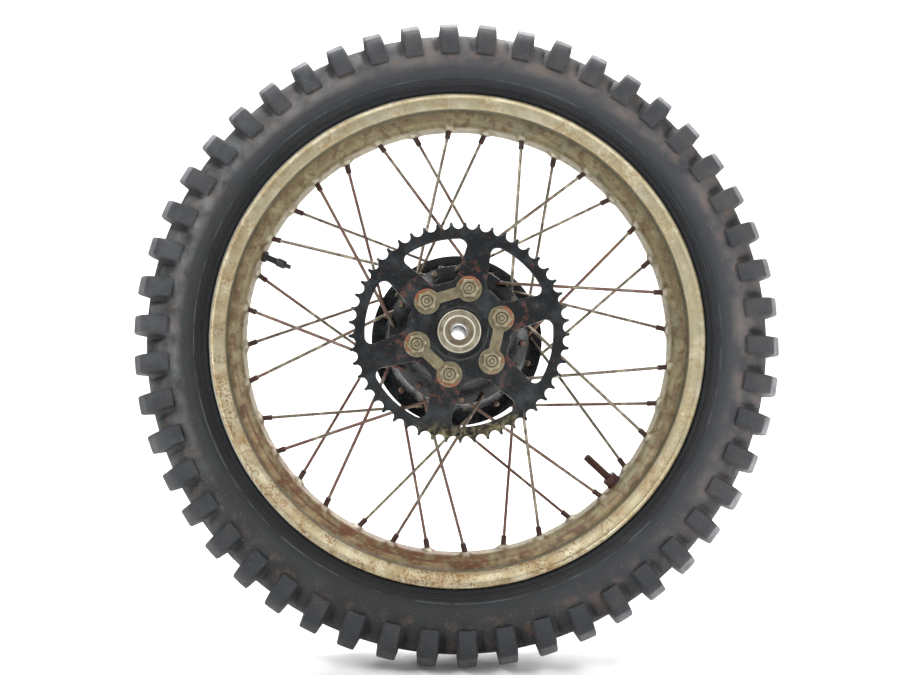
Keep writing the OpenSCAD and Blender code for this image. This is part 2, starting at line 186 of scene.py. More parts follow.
def toward(tree, place, degrees, start, end):
    # 0 to 1 as a point lies more toward one side of the wheel; start and end in millimetres
    a = math.radians(degrees)
    along = addNode(tree, "VectorMath", {0: place, 1: (math.cos(a), 0, math.sin(a))}, "Value",
                    operation="DOT_PRODUCT")
    return addNode(tree, "MapRange", {"Value": along, "From Min": start * mm, "From Max": end * mm},
                   interpolation_type="SMOOTHSTEP")


def annulus(tree, radius, inner, outer, soft):
    # 1 between two radii and 0 outside them, all in millimetres
    rise = addNode(tree, "MapRange", {"Value": radius, "From Min": (inner - soft) * mm,
                                      "From Max": inner * mm})
    return addNode(tree, "MapRange", {"Value": radius, "From Min": outer * mm,
                                      "From Max": (outer + soft) * mm, "To Min": rise, "To Max": 0.0})


def patches(tree, place, size, low, high, detail=4.0):
    # soft-edged patches of about that size in millimetres
    clouds = addNode(tree, "TexNoise", {"Vector": place, "Scale": 1 / (size * mm), "Detail": detail,
                                        "Roughness": 0.6})
    return addNode(tree, "ValToRGB", {"Fac": clouds}, stops=((low, 0.0), (high, 1.0)))


def layered(tree, base, *layers):
    # colours laid over each other; a layer is (colour, strength, mask, mask...)
    for colour, strength, *masks in layers:
        share = strength
        for mask in masks:
            share = addNode(tree, "Math", {0: mask, 1: share}, operation="MULTIPLY")
        base = addNode(tree, "Mix", {0: share, 6: base, 7: colour}, 2, data_type="RGBA")
    return base


# Materials

def agedTyreRubber():
    # natural and butadiene rubber, moulded: matt charcoal, bleached grey where sun and dried mud reach it
    material, tree, place = newMaterial("moulded tyre rubber")
    radius = wheelRadius(tree, place)
    block = addNode(tree, "Attribute", output="Fac", attribute_name="block")
    pocket = addNode(tree, "Attribute", output="Fac", attribute_name="pocket")
    weather = patches(tree, place, 42, 0.36, 0.66)
    colour = layered(
        tree, "#1b1c1b",
        ("#2c2e32", 1.0, toward(tree, place, 35, -300, 260)),
        ("#3d4044", 0.4, weather, annulus(tree, radius, 258, 330, 8)),
        ("#625c59", 0.7, annulus(tree, radius, 268, 302, 9), patches(tree, place, 30, 0.34, 0.66, 2.0),
         toward(tree, place, 60, -260, 160)),
        ("#5c4b42", 0.45, annulus(tree, radius, 270, 330, 8), patches(tree, place, 15, 0.5, 0.68)),
        ("#6c6f71", 0.6, toward(tree, place, 158, 100, 300), annulus(tree, radius, 268, 302, 7),
         patches(tree, place, 22, 0.38, 0.62)),
        ("#2a2d31", 0.75, block, annulus(tree, radius, 262, 304, 4)),
        # worn, dusty knob tops, also painted lighter as painted light, fading toward the lower left
        ("#87868a", 0.8, block, annulus(tree, radius, 304, 330, 1.5), patches(tree, place, 14, 0.2, 0.6),
         toward(tree, place, 50, -360, 60)),
        # painted shadow: near-black in the sunk strip beside each knob, fainter past midway to the next knob
        ("#0e0f12", 0.8, pocket),
        ("#5c6065", 0.4, annulus(tree, radius, 251.3, 251.8, 0.4), patches(tree, place, 30, 0.45, 0.6)),
        ("#14171b", 0.7, annulus(tree, radius, 240, 246.6, 1.5)),
        ("#6b5c4e", 0.5, patches(tree, place, 2.6, 0.6, 0.72, 6.0), annulus(tree, radius, 264, 330, 10)),
        ("#15161a", 0.7, patches(tree, place, 3.4, 0.66, 0.72, 6.0)))
    dull = addNode(tree, "MapRange", {"Value": weather, "To Min": 0.6, "To Max": 0.88})
    grain = addNode(tree, "TexNoise", {"Vector": place, "Scale": 700.0, "Detail": 5.0})  # 1.4 mm
    surface(tree, colour, dull, bump=(grain, 0.35, 0.6), specular=0.3)
    return material


def blackRubber():
    # butyl rubber, moulded: smooth and black with a faint bloom
    material, tree, place = newMaterial("butyl rubber")
    bloom = patches(tree, place, 7, 0.4, 0.7)
    sheen = addNode(tree, "MapRange", {"Value": bloom, "To Min": 0.14, "To Max": 0.32})
    surface(tree, layered(tree, "#0b0b0d", ("#1a1a1c", 1.0, bloom)), sheen)
    return material


def stainedRimAlloy():
    # aluminium alloy, rolled and polished: oxidised cream on the flanges, brown water stains in the well and
    # a line of rust that the spokes have shed along the corner between them
    material, tree, place = newMaterial("polished aluminium alloy")
    radius = wheelRadius(tree, place)
    well = annulus(tree, radius, 205, 225.6, 1.2)
    dimpleHighlight = addNode(tree, "Attribute", output="Fac", attribute_name="dimpleHighlight")
    clouds = patches(tree, place, 30, 0.36, 0.64)
    low = toward(tree, place, 245, -130, 200)
    colour = layered(
        tree, "#bcb294",
        ("#998b69", 0.6, clouds),
        ("#d4cdb4", 0.6, patches(tree, place, 16, 0.48, 0.64)),
        ("#97794f", 0.5, patches(tree, place, 3.8, 0.48, 0.58, 6.0), patches(tree, place, 30, 0.44, 0.56)),
        ("#8d7048", 0.5, patches(tree, place, 26, 0.46, 0.62), low),
        ("#7d5836", 0.75, patches(tree, place, 2.4, 0.5, 0.58, 6.0), patches(tree, place, 22, 0.44, 0.54),
         low),
        ("#4a3626", 0.8, patches(tree, place, 1.6, 0.57, 0.63, 6.0), patches(tree, place, 18, 0.48, 0.56),
         low),
        # painted highlight: a thin near-white line along the flange's outer edge, on the left side of the
        # wheel
        ("#e4e3db", 0.75, annulus(tree, radius, 240.6, 243, 0.5), toward(tree, place, 165, 20, 220)),
        ("#3a3226", 0.8, patches(tree, place, 1.6, 0.66, 0.7, 5.0)),
        ("#675b3f", 0.9, well),
        ("#857c5c", 0.75, well, patches(tree, place, 12, 0.46, 0.62)),
        ("#6f7560", 0.6, well, patches(tree, place, 20, 0.5, 0.62), toward(tree, place, 30, -60, 200)),
        ("#4c3420", 0.6, well, patches(tree, place, 8, 0.52, 0.6, 6.0)),
        ("#4f3220", 0.85, annulus(tree, radius, 219.6, 223.6, 1.6), patches(tree, place, 13, 0.4, 0.52),
         addNode(tree, "MapRange", {"Value": low, "To Min": 0.45, "To Max": 1.0})),
        ("#5f3722", 0.8, well, patches(tree, place, 14, 0.44, 0.56), toward(tree, place, 240, 120, 205)),
        ("#2b251b", 0.75, well, patches(tree, place, 1.8, 0.62, 0.68, 5.0)),
        ("#958562", 0.6, annulus(tree, radius, 221.5, 225.2, 1.5), low, patches(tree, place, 12, 0.42, 0.58)),
        ("#3d3a2c", 0.6, annulus(tree, radius, 225.4, 226.2, 0.8)),
        # painted highlight on the flank of every nipple dimple
        ("#efe9d6", 0.85, dimpleHighlight))
    stained = addNode(tree, "Math", {0: well, 1: clouds}, operation="MAXIMUM")
    rough = addNode(tree, "MapRange", {"Value": stained, "To Min": 0.26, "To Max": 0.5})
    metal = addNode(tree, "MapRange", {"Value": well, "To Min": 0.75, "To Max": 0.35})
    scratches = addNode(tree, "TexNoise", {"Vector": place, "Scale": 420.0, "Detail": 6.0})  # 2.4 mm
    surface(tree, colour, rough, metal, bump=(scratches, 0.16, 0.6))
    return material


def rustySteel(name, dark, middle, pale, paleShare):
    # low-carbon steel whose plating has gone: powdery brown rust over pitted metal
    material, tree, place = newMaterial(name)
    pits = patches(tree, place, 2.2, 0.38, 0.66, 7.0)
    worn = patches(tree, place, 17, 0.62 - paleShare, 0.78 - paleShare)
    colour = layered(tree, dark, (middle, 1.0, pits), (pale, 0.7, worn, pits))
    rough = addNode(tree, "MapRange", {"Value": pits, "To Min": 0.45, "To Max": 0.8})
    surface(tree, colour, rough, 0.25, bump=(pits, 0.12, 0.7))
    return material


def rustySpokeSteel():
    # drawn steel wire, once plated: some spokes keep a dull beige plating, others are red with rust
    material, tree, place = newMaterial("rusty drawn steel")
    rusty = addNode(tree, "Attribute", output="Fac", attribute_name="rusty")
    clouds = addNode(tree, "TexNoise", {"Vector": place, "Scale": 45.0, "Detail": 4.0})  # 22 mm
    varied = addNode(tree, "Math", {0: clouds, 1: 1.1, 2: rusty}, operation="MULTIPLY_ADD")
    red = addNode(tree, "MapRange", {"Value": varied, "From Min": 0.95, "From Max": 1.2})
    pits = patches(tree, place, 1.8, 0.42, 0.62, 7.0)
    colour = layered(
        tree, "#665e50",
        ("#a39a86", 0.6, patches(tree, place, 9, 0.5, 0.6)),
        ("#37302a", 0.8, patches(tree, place, 5, 0.54, 0.62)),
        ("#53362e", 0.92, red),
        ("#7d5142", 0.6, red, pits),
        ("#3a201c", 0.75, red, patches(tree, place, 6, 0.56, 0.64)))
    metal = addNode(tree, "MapRange", {"Value": red, "To Min": 0.65, "To Max": 0.15})
    rough = addNode(tree, "MapRange", {"Value": red, "To Min": 0.34, "To Max": 0.6})
    surface(tree, colour, rough, metal, bump=(pits, 0.12, 0.6))
    return material


def wornBlackPaint(name, paint, dust, scuffAndGlint, gloss):
    # air-dried black enamel on cast metal: glossy where kept, dulled by dust and scuffed through in specks,
    # which on the hub are pale enough to be painted glints as well
    material, tree, place = newMaterial(name)
    dusty = patches(tree, place, 20, 0.46, 0.7)
    colour = layered(tree, paint, (dust, 0.6, dusty),
                     # scuffed specks; on the hub these are also painted glints, a painted highlight
                     (scuffAndGlint, 0.75, patches(tree, place, 2.4, 0.64, 0.68, 7.0)))
    rough = addNode(tree, "MapRange", {"Value": dusty, "To Min": gloss, "To Max": gloss + 0.3})
    orangePeel = addNode(tree, "TexNoise", {"Vector": place, "Scale": 260.0, "Detail": 3.0})  # 3.8 mm
    surface(tree, colour, rough, bump=(orangePeel, 0.3, 0.45))
    return material


def sprocketEnamel():
    # steel plate under black enamel: glossy where kept, worn to brassy metal by the chain along one
    # stretch with a painted highlight over it, with rust creeping out from under the lock plates
    material, tree, place = newMaterial("enamelled sprocket steel")
    radius = wheelRadius(tree, place)
    dust = patches(tree, place, 14, 0.44, 0.7)
    rim = annulus(tree, radius, 85, 97, 3)
    chainWearAndHighlight = addNode(tree, "Math", {0: toward(tree, place, 278, 74, 93), 1: rim}, operation="MULTIPLY")
    rust = addNode(tree, "Math", {0: patches(tree, place, 7, 0.53, 0.59, 6.0),
                                  1: annulus(tree, radius, 50, 64, 4)}, operation="MULTIPLY")
    colour = layered(
        tree, "#0a0d10",
        ("#1f2427", 0.8, dust),
        ("#3c4246", 0.5, patches(tree, place, 3, 0.6, 0.68, 7.0)),
        ("#454130", 0.7, chainWearAndHighlight, patches(tree, place, 13, 0.36, 0.6, 3.0)),
        # painted highlight: pale brassy patches over the chain-worn stretch
        ("#a39a78", 0.55, chainWearAndHighlight, patches(tree, place, 6, 0.46, 0.66, 3.0)),
        ("#6b6758", 0.5, annulus(tree, radius, 98.4, 103, 1.5), patches(tree, place, 5, 0.5, 0.6)),
        ("#4a2a22", 0.75, rust),
        ("#4a2a22", 0.6, patches(tree, place, 5, 0.63, 0.67, 6.0)))
    rough = addNode(tree, "MapRange", {"Value": dust, "To Min": 0.28, "To Max": 0.55})
    metal = addNode(tree, "MapRange", {"Value": chainWearAndHighlight, "To Min": 0.0, "To Max": 0.8})
    speckle = addNode(tree, "TexNoise", {"Vector": place, "Scale": 320.0, "Detail": 4.0})  # 3.1 mm
    surface(tree, colour, rough, metal, bump=(speckle, 0.4, 0.5), specular=0.4)
    return material


def dullZinc(name, plate, shade, rustAmount, rings=()):
    # zinc-plated steel, turned or pressed: the plating has gone khaki and dull, with orange rust at bare
    # edges and black grime packed into the corners, deepened with painted shade in recesses and at bolt feet
    material, tree, place = newMaterial(name)
    clouds = patches(tree, place, 6, 0.35, 0.7)
    bare = addNode(tree, "Attribute", output="Fac", attribute_name="bare")
    grimeAndShade = addNode(tree, "Attribute", output="Fac", attribute_name="grimeAndShade")
    edge = patches(tree, place, 11, 0.6 - rustAmount, 0.66 - rustAmount)
    specks = patches(tree, place, 1.6, 0.5, 0.7, 7.0)
    colour = layered(
        tree, plate, (shade, 1.0, clouds),
        ("#4a3f2d", 0.6, specks),
        # dark dirt together with painted shade in the bolt heads' recesses and at their feet
        ("#2e281e", 0.85, grimeAndShade),
        # bands of colour by radius, given per material; the collar's are painted highlights on its ridge and
        # edge and a darker band on its cone
        *((tint, share, annulus(tree, wheelRadius(tree, place), inner, outer, 0.4))
          for tint, share, inner, outer in rings),
        ("#8c4a2c", 0.9, bare, edge),
        ("#5f2717", 0.8, bare, edge, specks))
    rough = addNode(tree, "MapRange", {"Value": clouds, "To Min": 0.32, "To Max": 0.52})
    metal = addNode(tree, "MapRange", {"Value": bare, "To Min": 0.6, "To Max": 0.1})
    surface(tree, colour, rough, metal, bump=(specks, 0.12, 0.7))
    return material


def turnedMetal(name, colour, shade, roughness, ringPitch):
    # metal turned or ground on a lathe: fine rings about the axle
    material, tree, place = newMaterial(name)
    turns = addNode(tree, "Math", {0: wheelRadius(tree, place), 1: math.tau / (ringPitch * mm)},
                    operation="MULTIPLY")
    lines = addNode(tree, "Math", {0: turns}, operation="SINE")
    tint = patches(tree, place, 12, 0.35, 0.7)
    rough = addNode(tree, "MapRange", {"Value": tint, "To Min": roughness, "To Max": roughness + 0.15})
    surface(tree, layered(tree, colour, (shade, 1.0, tint)), rough, 0.9, bump=(lines, 0.03, 0.5))
    return material


def mouldedCap():
    # polyamide, injection moulded: satin black
    material, tree, place = newMaterial("moulded polyamide")
    haze = patches(tree, place, 4, 0.4, 0.7)
    satin = addNode(tree, "MapRange", {"Value": haze, "To Min": 0.4, "To Max": 0.6})
    surface(tree, layered(tree, "#121214", ("#202022", 1.0, haze)), satin)
    return material


def studioPaper():
    # seamless background paper: matt, almost white, with the faintest mottling
    material, tree, place = newMaterial("background paper")
    surface(tree, layered(tree, "#f2f2f1", ("#f7f7f6", 1.0, patches(tree, place, 900, 0.3, 0.7))), 0.9)
    return material


tyreRubber = agedTyreRubber()
butyl = blackRubber()
rimAlloy = stainedRimAlloy()
spokeSteel = rustySpokeSteel()
nippleSteel = rustySteel("rusty turned steel", "#21120e", "#432019", "#5a3a2c", 0.02)
lockSteel = rustySteel("rusty machine steel", "#281412", "#4d241d", "#6b4234", 0.04)
# the hub's pale specks are scuffs and painted glints together
hubPaint = wornBlackPaint("black enamel on cast alloy", "#08090b", "#1b2124", "#5e6466", 0.22)
stemBlack = wornBlackPaint("blackened brass", "#141312", "#2b2620", "#4f412e", 0.4)
sprocketPaint = sprocketEnamel()
plateZinc = dullZinc("pressed zinc plate", "#6f6752", "#8b826a", 0.16)
boltZinc = dullZinc("forged zinc plate", "#7b725c", "#968d74", 0.04)
# collar bands by radius: darker brown over the inner cone, then painted highlights as pale rings on the
# raised ridge and at the outer edge
collarRings = (("#57493a", 0.65, 8.4, 12.8), ("#cfcabb", 0.75, 13.4, 14.5), ("#c4bfae", 0.6, 18.9, 20))
collarZinc = dullZinc("turned zinc plate", "#6b6555", "#8f8977", 0.0, collarRings)
drumIron = turnedMetal("turned cast iron", "#5b5650", "#6d6055", 0.4, 1.2)
bearingSteel = turnedMetal("ground bearing steel", "#b9babd", "#a5a6aa", 0.16, 0.6)
tubeSteel = turnedMetal("drawn steel tube", "#8a8a8a", "#77736d", 0.4, 0.8)
cageBrass = turnedMetal("pressed brass", "#b08d4c", "#8d7040", 0.3, 1.0)
capPlastic = mouldedCap()
print("materials made")


# Tyre: one knob pitch is spun from the casing's section, its blocks are drawn out, and the pitch is repeated

tyre = {"crown": 320.5, "treadSection": 59, "casingSection": 47.5, "liningDepth": 6.5, "rows": 50,
        "phase": 5.27, "columns": 8, "blockBase": 2.0, "blockTop": 1.58, "edgeRound": 1.3, "edgeAngle": 32,
        "pocket": 2.4, "pocketFrom": 24, "pocketTo": 66,
        "centreRow": 12.7, "sideRowsFrom": 18.8, "sideRowsTo": 73,
        "shoulderFaces": {63: (63.5, 55.2), 73: (74.5, 50.4)},  # a foot's angle to its face's angle and lift
        "outerSkin": 44.5, "wornFrom": 50, "wear": 0.9, "wearScale": 25}
tyre["middle"] = tyre["crown"] - tyre["treadSection"]


def tyreOutline():
    # (radius, depth) points round the casing, from the near bead over the crown to the far bead
    middle, casing = tyre["middle"], tyre["casingSection"]
    inner = casing - tyre["liningDepth"]
    bead = [(229.5, 12.6), (228.9, 16), (228.8, 21.4), (230.9, 23.4), (234, 23.4), (242.9, 23.4)]
    band = [(243.2, 26.2), (243.8, 28.6), (244.9, 30.6), (245.7, 31.2), (245.8, 32.4), (246.4, 34.9),
            (247.4, 35.2), (247.4, 36.6), (248.0, 38.5), (249.1, 38.8), (249.2, 40.2), (249.9, 41.9),
            (251.0, 42.2), (251.2, 43.6), (252.9, 45.2), (254.6, 46.6)]
    section = [(middle + casing * math.cos(math.radians(a)), casing * math.sin(math.radians(a)))
               for a in (96, 91, 86, 82, 80, 78, 76, 73, 63, 54, 45, 36, 27, 18.8, 12.7, 6.4)]
    half = bead + band + section
    inside = [(middle - 2 + inner * math.cos(math.radians(a)), inner * math.sin(math.radians(a)))
              for a in (0, 30, 60, 90)]
    lining = inside + [(247, 30), (241, 19), (236, 12.6)]
    far = [(r, -z) for r, z in reversed(half)]
    return half + [(middle + casing, 0)] + far + [(r, -z) for r, z in reversed(lining)] + lining[1:]


def sectionAngle(point):
    # angle round the tyre's section from the crown, and radius from the section's middle, in millimetres
    out = math.hypot(point.x, point.z) / mm - tyre["middle"]
    side = point.y / mm
    return math.degrees(math.atan2(abs(side), out)), math.hypot(out, side)


def turnAbout(point, degrees):
    return Matrix.Rotation(math.radians(degrees), 3, axle) @ point


def pitchAngle(point):
    return math.degrees(math.atan2(point.z, point.x))


def blockTop(point):
    # where a corner of a block's foot goes on the block's face
    angle = sectionAngle(point)[0]
    angle, lift = tyre["shoulderFaces"].get(round(angle), (angle, tyre["treadSection"]))
    outward = tyre["middle"] + lift * math.cos(math.radians(angle))
    side = math.copysign(lift * math.sin(math.radians(angle)), point.y)
    turn = pitchAngle(point) * tyre["blockTop"] / tyre["blockBase"]
    return turnAbout(Vector((outward, side, 0)) * mm, turn)


def wearAt(point):
    # smooth noise on each axis, because noise_vector has given other values from one run to the next
    return Vector([noise.noise(point * tyre["wearScale"] + Vector((shift, 0, 0))) for shift in (0, 17, 43)])


def knobblyTyre():
    bm = bmesh.new()
    block = bm.verts.layers.float.new("block")
    pocket = bm.verts.layers.float.new("pocket")
    points = [bm.verts.new((r * mm, -z * mm, 0)) for r, z in tyreOutline()]
    loop = [bm.edges.new((a, b)) for a, b in zip(points, points[1:] + points[:1])]
    pitch = 360 / tyre["rows"]
    bmesh.ops.rotate(bm, verts=bm.verts, cent=(0, 0, 0),
                     matrix=Matrix.Rotation(math.radians(-pitch / 2), 3, axle))
    bmesh.ops.spin(bm, geom=points + loop, cent=(0, 0, 0), axis=axle, dvec=(0, 0, 0),
                   angle=math.radians(pitch), steps=tyre["columns"])
    foot = 2 * pitch / tyre["columns"]  # the blocks stand on the four middle columns
    for vert in bm.verts:
        turn = pitchAngle(vert.co)
        share = abs(turn) / foot  # 1 at a block's edge, 2 midway to the next block
        wanted = tyre["blockBase"] * min(share, 1) + max(share - 1, 0) * (pitch / 2 - tyre["blockBase"])
        angle, reach = sectionAngle(vert.co)
        onTread = tyre["pocketFrom"] < angle < tyre["pocketTo"] and reach > tyre["outerSkin"]
        if onTread and share > 0.9:  # the tread is sunk along one side of every block
            beside = turn > 0 and share < 1.9
            # the pocket attribute carries the painted shadow: full beside the block, 0.3 past midway
            vert[pocket] = 1 if beside else 0.3 if share > 1.9 else 0
            if beside and share > 1.1:
                middle = Vector((vert.co.x, 0, vert.co.z)).normalized() * tyre["middle"] * mm
                vert.co += (middle - vert.co).normalized() * tyre["pocket"] * mm
        vert.co = turnAbout(vert.co, math.copysign(wanted, turn) - turn)
    bmesh.ops.recalc_face_normals(bm, faces=bm.faces)
    feet = []
    for face in bm.faces:
        centre = face.calc_center_median()
        angle, reach = sectionAngle(centre)
        onBlock = angle < tyre["centreRow"] or tyre["sideRowsFrom"] < angle < tyre["sideRowsTo"]
        if onBlock and reach > tyre["outerSkin"] and abs(pitchAngle(centre)) < tyre["blockBase"]:
            feet.append(face)
    grown = bmesh.ops.extrude_face_region(bm, geom=feet)
    tops = [g for g in grown["geom"] if isinstance(g, bmesh.types.BMVert)]
    bmesh.ops.delete(bm, geom=feet, context="FACES_ONLY")
    for vert in tops:
        vert.co = blockTop(vert.co)
        vert[block] = 1
        vert[pocket] = 0
    bm.normal_update()
    corners = [e for e in bm.edges if (e.verts[0] in tops or e.verts[1] in tops) and e.is_manifold
               and e.calc_face_angle(0) > math.radians(tyre["edgeAngle"])]
    bmesh.ops.bevel(bm, geom=corners, offset=tyre["edgeRound"] * mm, offset_type="OFFSET", segments=2,
                    profile=0.5, affect="EDGES", material=-1, clamp_overlap=True)
    bmesh.ops.rotate(bm, verts=bm.verts, cent=(0, 0, 0),
                     matrix=Matrix.Rotation(math.radians(tyre["phase"]), 3, axle))
    bmesh.ops.spin(bm, geom=bm.verts[:] + bm.edges[:] + bm.faces[:], cent=(0, 0, 0), axis=axle,
                   dvec=(0, 0, 0), angle=math.radians(360 - pitch), steps=tyre["rows"] - 1,
                   use_duplicate=True)
    closed(bm, 2e-5)
    for vert in bm.verts:  # blocks wear unevenly
        if sectionAngle(vert.co)[1] > tyre["wornFrom"]:
            vert.co += wearAt(vert.co) * tyre["wear"] * mm
    return smoothByAngle(finished("knobblyTyre", bm, tyreRubber), 38)


standIn(knobblyTyre(), "wheel", "tyre_rubber", "tyre")
print("tyre made")


# Rim: the rolled section with a punched dimple for every nipple

rim = {"flange": 242.5, "seat": 228.5, "halfWidth": 23.5, "well": 213.5, "wall": 3.5, "steps": 432,
       "dimpleRadius": 9, "dimpleHeight": 3.0, "brightFlank": 5, "brightRadius": 3.4,
       "nippleOffset": 4, "firstNipple": 2.15, "nipples": 36, "valveAngle": 157.15, "lockAngle": 317.15}


def rimOutline():
    f, s, h, w, t = rim["flange"], rim["seat"], rim["halfWidth"], rim["well"], rim["wall"]
    outer = [(w, 2), (w, 4), (w, 6), (w + 0.1, 8), (w + 0.6, 10), (w + 2, 12), (w + 4.5, 14), (w + 7.5, 16.2),
             (w + 10.2, 18.4), (w + 11.6, 20.4), (w + 12.0, 22.5), (w + 12.1, 25), (w + 12.3, 26.6),
             (w + 13, 27),
             (f - 11, 27), (f - 7, 27), (f - 4.6, 27.1), (f - 3.6, 27.7), (f - 2.4, 28.4), (f - 1.2, 28.3),
             (f - 0.3, 27.4), (f, 26.2), (f - 0.2, 25), (f - 0.8, 24), (f - 2, h)]
    inner = [(s + 2, h), (s + 0.5, h - 0.6), (s, h - 2), (s - 0.5, 12.4), (s - 1.8, 11.8),
             (w + t + 2, 9), (w + t + 0.3, 8.2), (w + t, 7), (w + t, 4)]
    half = outer + inner
    return [(w, 0)] + half + [(w + t, 0)] + [(r, -z) for r, z in reversed(half)]


def nearestNipple(turn, depth):
    # distances in millimetres from the nearest nipple and from the spot on its dimple's flank where the
    # painted highlight goes
    step = 360 / rim["nipples"]
    count = round((turn - rim["firstNipple"]) / step)
    side = 1 if count % 2 else -1
    across = math.radians(turn - rim["firstNipple"] - count * step) * rim["well"]
    off = depth - side * rim["nippleOffset"]
    return math.hypot(across, off), math.hypot(across, off - rim["brightFlank"])


def dimpledRim():
    bm = bmesh.new()
    points = [bm.verts.new((r * mm, -z * mm, 0)) for r, z in rimOutline()]
    for a, b in zip(points, points[1:] + points[:1]):
        bm.edges.new((a, b))
    spinWhole(bm, rim["steps"])
    closed(bm)
    dimpleHighlight = bm.verts.layers.float.new("dimpleHighlight")
    for vert in bm.verts:
        radius = math.hypot(vert.co.x, vert.co.z) / mm
        if radius > rim["well"] + rim["wall"] + 1:
            continue
        off, flank = nearestNipple(pitchAngle(vert.co), -vert.co.y / mm)
        # painted highlight, full at the flank spot and gone at brightRadius from it
        vert[dimpleHighlight] = max(0, 1 - flank / rim["brightRadius"])
        if off < rim["dimpleRadius"]:
            rise = (1 - (off / rim["dimpleRadius"]) ** 2) ** 1.5
            vert.co -= Vector((vert.co.x, 0, vert.co.z)).normalized() * rim["dimpleHeight"] * rise * mm
    return smoothByAngle(finished("dimpledRim", bm, rimAlloy), 50)


standIn(dimpledRim(), "wheel", "rim_aluminium", "rim")
print("rim made")


# Spokes: a button head, a shank through the flange, an elbow, then straight into the nipple

spoke = {"radius": 1.6, "head": 3.3, "headHeight": 2.1, "elbowGap": 0.7, "flangeHalf": 2.0, "lacing": 40,
         "seat": 215.2, "sides": 12, "bend": 3.0, "bendSteps": 5,
         "near": {"hole": 61, "flange": 42, "slope": 20.5}, "far": {"hole": 80, "flange": -43, "slope": 23.5},
         "rustSide": 255, "rustShare": 0.47, "rustLean": 0.12, "rustSpread": 0.3}
nipple = {"radius": 2.9, "length": 13, "flats": 2.45, "sides": 16}


def laced(count):
    # hub hole, outward flange direction, elbow and nipple seat of one spoke
    side = 1 if count % 2 else -1
    turn = 1 if count % 4 < 2 else -1
    end = spoke["near"] if side > 0 else spoke["far"]
    at = rim["firstNipple"] + count * 360 / rim["nipples"]
    holeAngle = at + turn * spoke["lacing"]
    slope = math.radians(end["slope"])
    out = (polar(math.sin(slope), holeAngle, side * math.cos(slope)) / mm) * side * turn
    hole = polar(end["hole"], holeAngle, end["flange"])
    elbow = hole + out * (spoke["flangeHalf"] + spoke["radius"] + spoke["elbowGap"]) * mm
    return hole, out, elbow, polar(spoke["seat"], at, side * rim["nippleOffset"])


def ringAt(bm, place, direction, radius, sides):
    turn = direction.to_track_quat("Z", "Y").to_matrix().to_4x4()
    made = bmesh.ops.create_circle(bm, segments=sides, radius=radius * mm,
                                   matrix=Matrix.Translation(place) @ turn)
    return made["verts"]


def loopEdges(ring):
    members = set(ring)
    return list(dict.fromkeys(e for v in ring for e in v.link_edges if e.other_vert(v) in members))


def bridged(bm, rings):
    for first, second in zip(rings, rings[1:]):
        bmesh.ops.bridge_loops(bm, edges=loopEdges(first) + loopEdges(second))
    for ring in (rings[0], rings[-1]):
        bmesh.ops.contextual_create(bm, geom=ring)


def drawSpoke(bm, count):
    hole, out, elbow, seat = laced(count)
    run = (seat - elbow).normalized()
    back = hole - out * (spoke["flangeHalf"] + 0.05) * mm
    r, h = spoke["radius"], spoke["headHeight"]
    rings = [ringAt(bm, back - out * (h - d) * mm, out, w, spoke["sides"])
             for d, w in ((0, r * 0.9), (0.25, r * 1.6), (0.9, spoke["head"]), (1.9, spoke["head"]), (h, r))]
    steps = spoke["bendSteps"]
    start = elbow - out * spoke["bend"] * 0.6 * mm
    finishPoint = elbow + run * spoke["bend"] * mm
    for i in range(steps + 1):  # the elbow is a smooth bend between the shank and the run
        t = i / steps
        place = start * (1 - t) ** 2 + elbow * 2 * t * (1 - t) + finishPoint * t * t
        direction = (elbow - start) * (1 - t) + (finishPoint - elbow) * t
        rings.append(ringAt(bm, place, direction.normalized(), r, spoke["sides"]))
    rings.append(ringAt(bm, seat - run * nipple["length"] * 0.5 * mm, run, r, spoke["sides"]))
    bridged(bm, rings)


def drawNipple(bm, count):
    elbow, seat = laced(count)[2:]
    run = (seat - elbow).normalized()
    r, long = nipple["radius"], nipple["length"]
    shape = ((-long, r * 0.62), (-long + 0.1, r * 0.8), (-long + 1.0, r * 0.95), (-long + 2.2, r),
             (-long + 2.4, r), (-long + 8.5, r), (-long + 8.7, r), (-1, r), (0.1, 3.9), (1.6, 3.9),
             (2.9, 2.4))
    frameTurn = run.to_track_quat("Z", "Y").to_matrix()
    rings = [ringAt(bm, seat + run * d * mm, run, w, nipple["sides"]) for d, w in shape]
    for ring in rings[4:6]:  # spanner flats
        for vert in ring:
            local = frameTurn.inverted() @ (vert.co - seat)
            limit = nipple["flats"] * mm
            local.x = max(-limit, min(limit, local.x))
            local.y = max(-limit, min(limit, local.y))
            vert.co = seat + frameTurn @ local
    bridged(bm, rings)


def drawn(name, shape, counts, material):
    bm = bmesh.new()
    rusty = bm.verts.layers.float.new("rusty")
    for count in counts:
        before = len(bm.verts)
        shape(bm, count)
        bm.verts.ensure_lookup_table()
        at = math.radians(rim["firstNipple"] + count * 360 / rim["nipples"] - spoke["rustSide"])
        spread = random.uniform(-spoke["rustSpread"], spoke["rustSpread"])
        # rustier toward the side that the wheel stood on
        share = spoke["rustShare"] + spoke["rustLean"] * math.cos(at) + spread
        for vert in bm.verts[before:]:
            vert[rusty] = share
    closed(bm, 1e-7)
    return smoothByAngle(finished(name, bm, material), 40)


spokeSets = {"farInnerSpokes": ("far_inner_spokes", 0), "nearOuterSpokes": ("near_outer_spokes", 1),
             "farOuterSpokes": ("far_outer_spokes", 2), "nearInnerSpokes": ("near_inner_spokes", 3)}
for name, (node, first) in spokeSets.items():
    counts = range(first, rim["nipples"], 4)
    standIn(drawn(name, drawSpoke, counts, spokeSteel), "wheel", "rusty_spoke_steel", node)
for name, node, first in (("farNipples", "far_nipples", 0), ("nearNipples", "near_nipples", 1)):
    counts = range(first, rim["nipples"], 2)
    standIn(drawn(name, drawNipple, counts, nippleSteel), "wheel", "rusty_nipple_steel", node)
print("spokes and nipples made")


